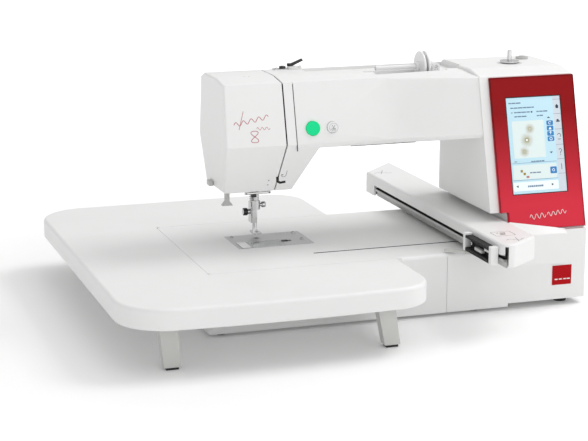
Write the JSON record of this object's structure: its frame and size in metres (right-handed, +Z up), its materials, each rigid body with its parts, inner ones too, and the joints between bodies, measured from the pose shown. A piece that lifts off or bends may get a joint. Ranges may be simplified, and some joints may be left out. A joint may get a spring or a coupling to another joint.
{
  "type": "embroidery machine",
  "caption": "Table-top embroidery machine with a touch screen column, a sliding embroidery arm and an extension table on folding legs.",
  "frame": {"origin": "centre of the whole footprint, on the floor", "axes": "+X to the right seen from the front, +Y to the back, +Z up; the user faces the -Y side"},
  "size_m": [0.652, 0.536, 0.309],
  "materials": {
    "white_plastic": "satin",
    "white_gloss": "gloss",
    "grey_plastic": "satin",
    "red_gloss": "gloss",
    "green_gloss": "gloss",
    "screen": "gloss",
    "clear_plastic": "clear",
    "black_plastic": "satin",
    "plate_steel": "brushed",
    "bright_steel": "polished",
    "cast_frame": "cast",
    "motor_case": "satin",
    "rubber": "matte",
    "lamp_lens": "clear"
  },
  "bodies": {
    "machine": {"base_shell": "white_plastic", "base_pan": "grey_plastic", "rubber_feet": "rubber", "face_cover": "white_plastic", "front_casing": "white_plastic", "rear_casing": "white_plastic", "panel_bezel": "red_gloss", "touch_screen": "screen", "main_board": "black_plastic", "console_cover": "white_plastic", "stitch_plate": "plate_steel", "bobbin_holder": "grey_plastic", "tension_unit": "bright_steel", "top_guide": "white_plastic", "thread_cutter": "black_plastic", "inner_frame": "cast_frame", "main_motor": "motor_case", "drive_belt": "rubber", "power_inlet": "black_plastic", "usb_ports": "black_plastic", "work_lamp": "lamp_lens", "spool_tray": "grey_plastic", "winder_stopper": "grey_plastic", "x_rails": "bright_steel", "x_motor": "motor_case"},
    "main_shaft": {"main_shaft": "bright_steel", "shaft_pulley": "black_plastic", "handwheel": "white_gloss"},
    "motor_rotor": {"motor_pulley": "bright_steel"},
    "hook": {"rotary_hook": "bright_steel"},
    "bobbin": {"bobbin": "clear_plastic"},
    "needle_bar": {"needle_bar": "bright_steel", "needle_clamp": "bright_steel", "needle": "bright_steel"},
    "presser": {"presser_bar": "bright_steel", "embroidery_foot": "bright_steel"},
    "lifter": {"presser_lifter": "grey_plastic"},
    "take_up": {"take_up_lever": "bright_steel"},
    "hook_cover": {"hook_cover": "clear_plastic"},
    "cover_release": {"cover_release": "black_plastic"},
    "threader": {"needle_threader": "grey_plastic"},
    "start_button": {"start_button": "green_gloss"},
    "cutter_button": {"cutter_button": "white_gloss"},
    "guide_lever": {"guide_lever": "white_plastic"},
    "winder": {"winder_arm": "grey_plastic"},
    "winder_spindle": {"winder_spindle": "bright_steel"},
    "spool_pin": {"spool_pin": "white_gloss"},
    "spool_holder": {"spool_holder": "white_gloss"},
    "power_switch": {"power_switch": "black_plastic"},
    "embroidery_arm": {"arm_housing": "white_plastic", "arm_floor": "grey_plastic", "carriage_drive": "bright_steel", "arm_bracket": "bright_steel"},
    "carriage": {"hoop_carriage": "white_gloss"},
    "hoop_lever": {"hoop_lever": "grey_plastic"},
    "table": {"extension_table": "white_plastic"},
    "leg_front_left": {"leg_front_left": "grey_plastic"},
    "leg_front_right": {"leg_front_right": "grey_plastic"},
    "leg_back_left": {"leg_back_left": "grey_plastic"},
    "leg_back_right": {"leg_back_right": "grey_plastic"}
  },
  "joints": [
    {"name": "shaft_turn", "type": "hinge", "parent": "machine", "child": "main_shaft", "pos_m": [0.3, 0.01, 0.234], "axis": [1, 0, 0], "continuous": true},
    {"name": "motor_turn", "type": "hinge", "parent": "machine", "child": "motor_rotor", "pos_m": [0.286, -0.02, 0.062], "axis": [1, 0, 0], "continuous": true},
    {"name": "hook_turn", "type": "hinge", "parent": "machine", "child": "hook", "pos_m": [-0.09, -0.006, 0.05], "axis": [0, 0, 1], "continuous": true},
    {"name": "bobbin_turn", "type": "hinge", "parent": "machine", "child": "bobbin", "pos_m": [-0.09, -0.006, 0.062], "axis": [0, 0, 1], "continuous": true},
    {"name": "needle_stroke", "type": "slide", "parent": "machine", "child": "needle_bar", "axis": [0, 0, 1], "range_m": [-0.026, 0]},
    {"name": "lifter_swing", "type": "hinge", "parent": "machine", "child": "lifter", "pos_m": [-0.081, 0.042, 0.166], "axis": [1, 0, 0], "range_deg": [-20, 0]},
    {"name": "foot_lift", "type": "slide", "parent": "machine", "child": "presser", "axis": [0, 0, 1], "range_m": [-0.0055, 0]},
    {"name": "take_up_swing", "type": "hinge", "parent": "machine", "child": "take_up", "pos_m": [-0.075, -0.009, 0.222], "axis": [1, 0, 0], "range_deg": [-25, 25]},
    {"name": "hook_cover_lift", "type": "slide", "parent": "machine", "child": "hook_cover", "axis": [0, 0, 1], "range_m": [0, 0.02]},
    {"name": "release_slide", "type": "slide", "parent": "machine", "child": "cover_release", "axis": [1, 0, 0], "range_m": [0, 0.004], "stiffness_N_per_m": 150},
    {"name": "threader_stroke", "type": "slide", "parent": "machine", "child": "threader", "axis": [0, 0, 1], "range_m": [-0.025, 0], "stiffness_N_per_m": 20, "springref_m": 0.003},
    {"name": "start_press", "type": "slide", "parent": "machine", "child": "start_button", "axis": [0, 0.9668, -0.2554], "range_m": [0, 0.0015], "stiffness_N_per_m": 800, "springref_m": -0.0005},
    {"name": "cutter_press", "type": "slide", "parent": "machine", "child": "cutter_button", "axis": [0, 0.9668, -0.2554], "range_m": [0, 0.0015], "stiffness_N_per_m": 800, "springref_m": -0.0005},
    {"name": "guide_lever_turn", "type": "hinge", "parent": "machine", "child": "guide_lever", "pos_m": [-0.038, 0.043, 0.293], "axis": [0, 0, 1], "range_deg": [-20, 20]},
    {"name": "winder_shift", "type": "slide", "parent": "machine", "child": "winder", "axis": [1, 0, 0], "range_m": [0, 0.006]},
    {"name": "winder_turn", "type": "hinge", "parent": "winder", "child": "winder_spindle", "pos_m": [0.238, -0.018, 0.3], "axis": [0, 0, 1], "continuous": true},
    {"name": "spool_pin_tilt", "type": "hinge", "parent": "machine", "child": "spool_pin", "pos_m": [0.14, 0, 0.29], "axis": [0, 1, 0], "range_deg": [0, 15]},
    {"name": "spool_holder_slide", "type": "slide", "parent": "spool_pin", "child": "spool_holder", "axis": [-1, 0, 0], "range_m": [0, 0.045]},
    {"name": "switch_rock", "type": "hinge", "parent": "machine", "child": "power_switch", "pos_m": [0.292, 0.034, 0.042], "axis": [0, 0, 1], "range_deg": [0, 14]},
    {"name": "arm_travel", "type": "slide", "parent": "machine", "child": "embroidery_arm", "axis": [-1, 0, 0], "range_m": [0, 0.18]},
    {"name": "carriage_travel", "type": "slide", "parent": "embroidery_arm", "child": "carriage", "axis": [0, 1, 0], "range_m": [0, 0.26]},
    {"name": "hoop_lever_turn", "type": "hinge", "parent": "carriage", "child": "hoop_lever", "pos_m": [0.1265, -0.149, 0.082], "axis": [0, 0, 1], "range_deg": [-25, 25]},
    {"name": "table_slide", "type": "slide", "parent": "machine", "child": "table", "axis": [-1, 0, 0], "range_m": [0, 0.26]},
    {"name": "leg_front_left_fold", "type": "hinge", "parent": "table", "child": "leg_front_left", "pos_m": [-0.2715, -0.23, 0.063], "axis": [0, 1, 0], "range_deg": [-86, 0]},
    {"name": "leg_front_right_fold", "type": "hinge", "parent": "table", "child": "leg_front_right", "pos_m": [-0.013, -0.228, 0.063], "axis": [0, 1, 0], "range_deg": [0, 90]},
    {"name": "leg_back_left_fold", "type": "hinge", "parent": "table", "child": "leg_back_left", "pos_m": [-0.2715, 0.23, 0.063], "axis": [0, 1, 0], "range_deg": [-86, 0]},
    {"name": "leg_back_right_fold", "type": "hinge", "parent": "table", "child": "leg_back_right", "pos_m": [-0.013, 0.226, 0.063], "axis": [0, 1, 0], "range_deg": [0, 90]}
  ],
  "couplings": [
    {"joint": "motor_turn", "follows": "shaft_turn", "ratio": 3.25},
    {"joint": "hook_turn", "follows": "shaft_turn", "ratio": 2},
    {"joint": "foot_lift", "follows": "lifter_swing", "m_per_rad": 0.015756}
  ]
}
